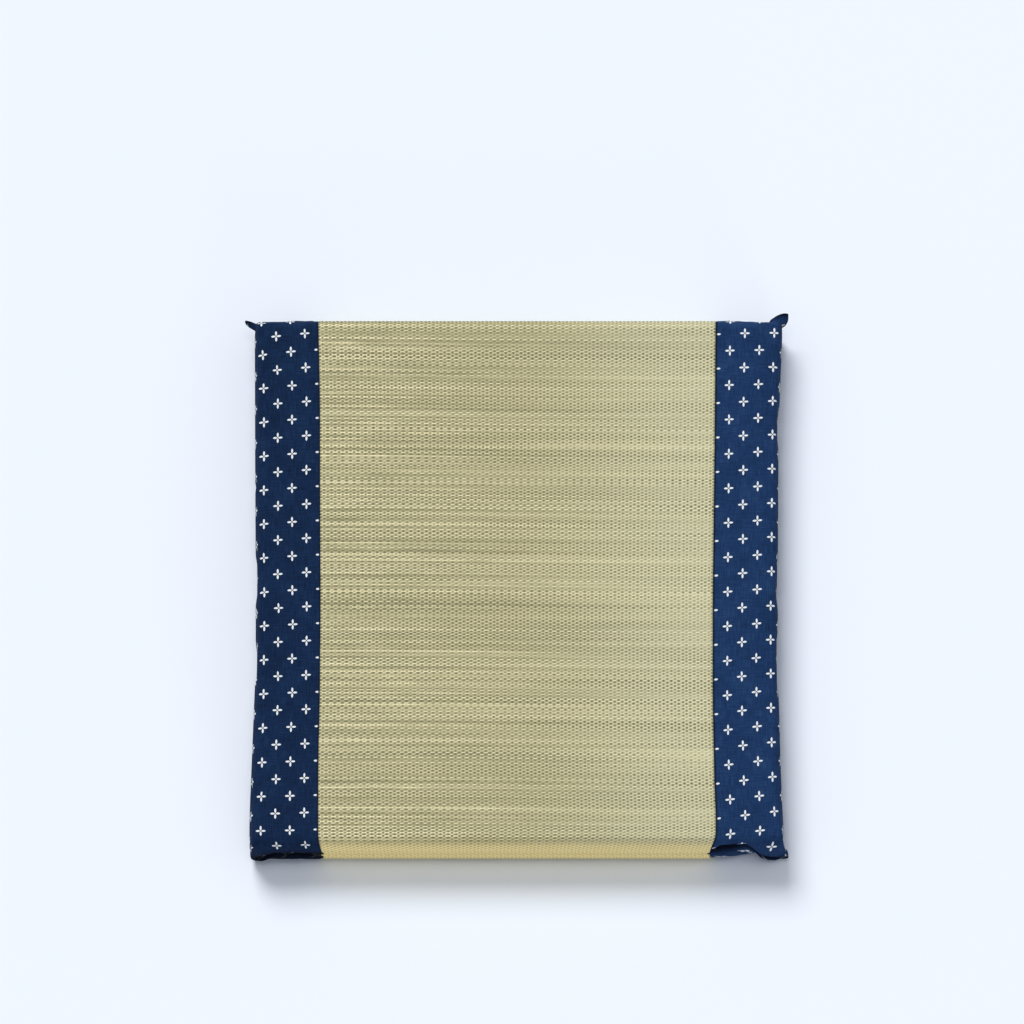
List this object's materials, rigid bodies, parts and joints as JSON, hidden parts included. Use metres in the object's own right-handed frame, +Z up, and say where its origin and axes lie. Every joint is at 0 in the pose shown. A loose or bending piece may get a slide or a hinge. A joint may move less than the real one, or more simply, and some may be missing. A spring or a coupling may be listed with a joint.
{
  "type": "floor cushion",
  "caption": "Flat square floor cushion with a woven rush seat between printed navy cotton side bands, foam and wadding filled, with small pinched ears at the corners.",
  "frame": {"origin": "under the middle of the cushion, on the surface that it rests on", "axes": "+X is the cushion's right (the cotton bands are at -X and +X), -Y its front, +Y its back, +Z up through the sitting face"},
  "size_m": [0.5652, 0.59, 0.053],
  "materials": {
    "rush": "woven straw-green soft rush, satin along the strands",
    "cotton_print": "matt plain-weave navy cotton printed with small white crosses",
    "backing": "white non-woven cloth",
    "foam": "open-cell foam, matt",
    "wadding": "matt fibre wadding",
    "band_thread": "navy spun sewing thread",
    "closing_thread": "cream spun sewing thread"
  },
  "bodies": {
    "root": {"rush_top": "rush", "rush_underside": "rush", "cotton_band_left": "cotton_print", "cotton_band_right": "cotton_print", "backing_top": "backing", "backing_underside": "backing", "foam_core": "foam", "wadding_top": "wadding", "wadding_underside": "wadding", "band_seam_top_left": "band_thread", "band_seam_top_right": "band_thread", "band_seam_underside_left": "band_thread", "band_seam_underside_right": "band_thread", "closing_seam_front": "closing_thread", "closing_seam_back": "closing_thread"}
  },
  "joints": []
}
